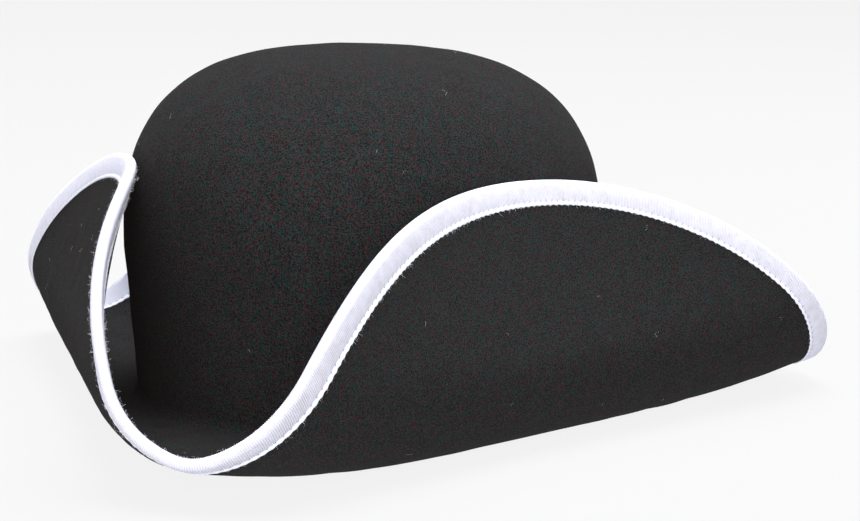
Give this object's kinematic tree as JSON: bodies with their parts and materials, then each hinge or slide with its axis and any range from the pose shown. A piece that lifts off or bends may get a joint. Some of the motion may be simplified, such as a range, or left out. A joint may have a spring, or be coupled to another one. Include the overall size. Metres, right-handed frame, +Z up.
{
  "type": "tricorn hat",
  "caption": "Black felt tricorn hat with a round crown, a brim turned up on every side into points, and a white ribbed ribbon bound and stitched over the brim's edge.",
  "frame": {"origin": "the middle of the hat's footprint on the table it stands on", "axes": "+Z up through the crown; +Y to the wearer's back, so the front point is at -Y; +X to the wearer's left"},
  "size_m": [0.3584, 0.3636, 0.1442],
  "materials": {
    "felt": "black wool felt, matt, slightly hairy",
    "white_ribbon": "white grosgrain ribbon with fine cross ribs",
    "white_thread": "white sewing thread",
    "black_thread": "black sewing thread",
    "steel_wire": "bright drawn wire",
    "sweatband_leather": "black imitation leather, fine grain",
    "black_ribbon": "black satin ribbon",
    "label_cloth": "woven off-white label cloth, blank"
  },
  "bodies": {
    "root": {"felt_crown": "felt", "felt_brim": "felt", "binding_tape": "white_ribbon", "binding_thread": "white_thread", "binding_bobbin_thread": "white_thread", "edge_wire": "steel_wire", "sweatband": "sweatband_leather", "sweatband_thread": "black_thread", "sweatband_bow": "black_ribbon", "size_tab": "label_cloth", "flap_tack_left": "black_thread", "flap_tack_right": "black_thread", "flap_tack_back": "black_thread"}
  },
  "joints": []
}
